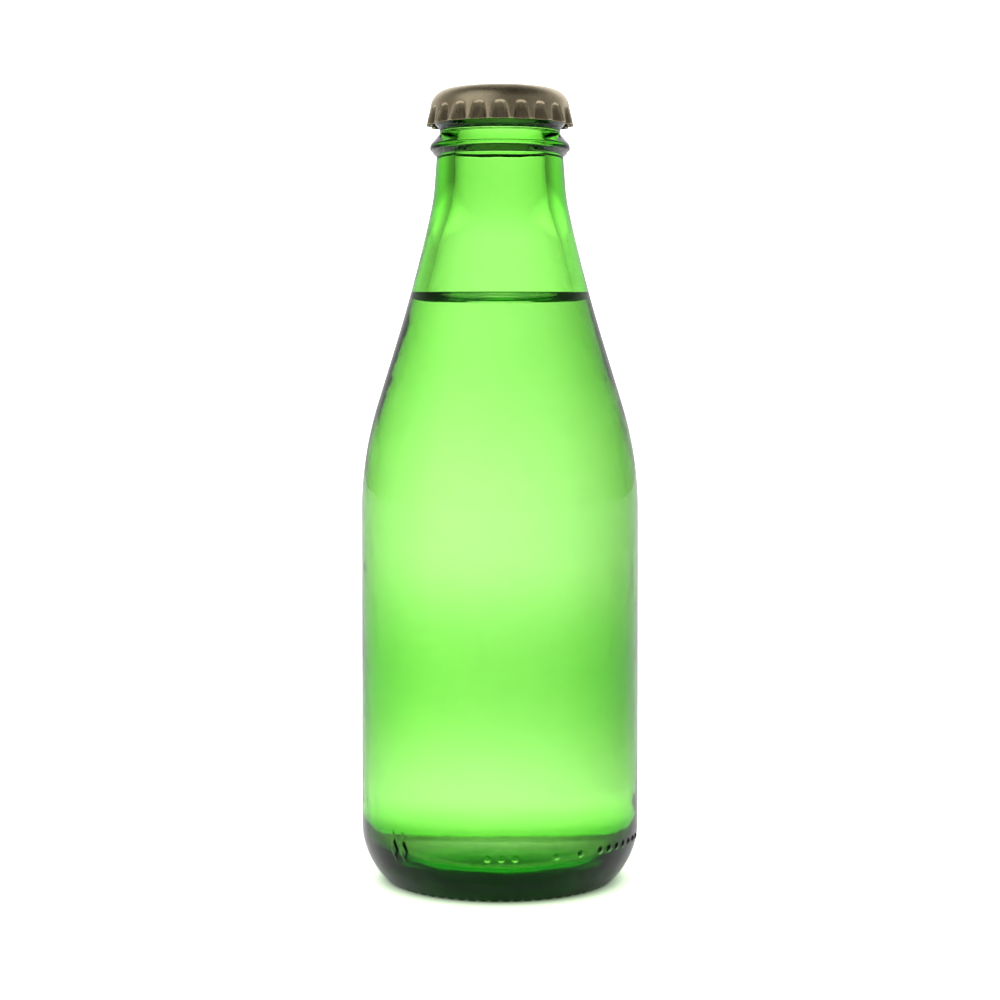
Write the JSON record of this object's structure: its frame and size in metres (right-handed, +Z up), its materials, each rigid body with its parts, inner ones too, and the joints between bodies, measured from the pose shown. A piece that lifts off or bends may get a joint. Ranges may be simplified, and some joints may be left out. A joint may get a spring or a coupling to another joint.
{
  "type": "glass soda bottle",
  "caption": "Small green glass soda bottle with a straight body and long sloping shoulder, filled and closed with a crimped steel crown that lifts off.",
  "frame": {"origin": "middle of the standing ring, on the surface that the bottle stands on", "axes": "+Z up along the bottle's axis, towards the crown; -Y is the side with the row of three dots on the heel"},
  "size_m": [0.054, 0.0542, 0.1537],
  "materials": {
    "green_glass": "smooth",
    "drink": "clear liquid",
    "crown_steel": "satin lacquered tinplate, warm grey",
    "liner_compound": "soft moulded sealing compound"
  },
  "bodies": {
    "bottle": {"glass_bottle": "green_glass", "soda_fill": "drink"},
    "crown": {"crown_shell": "crown_steel", "crown_liner": "liner_compound"}
  },
  "joints": [
    {"name": "crown_lift", "type": "slide", "parent": "bottle", "child": "crown", "axis": [0, 0, 1], "range_m": [0, 0.04]}
  ]
}
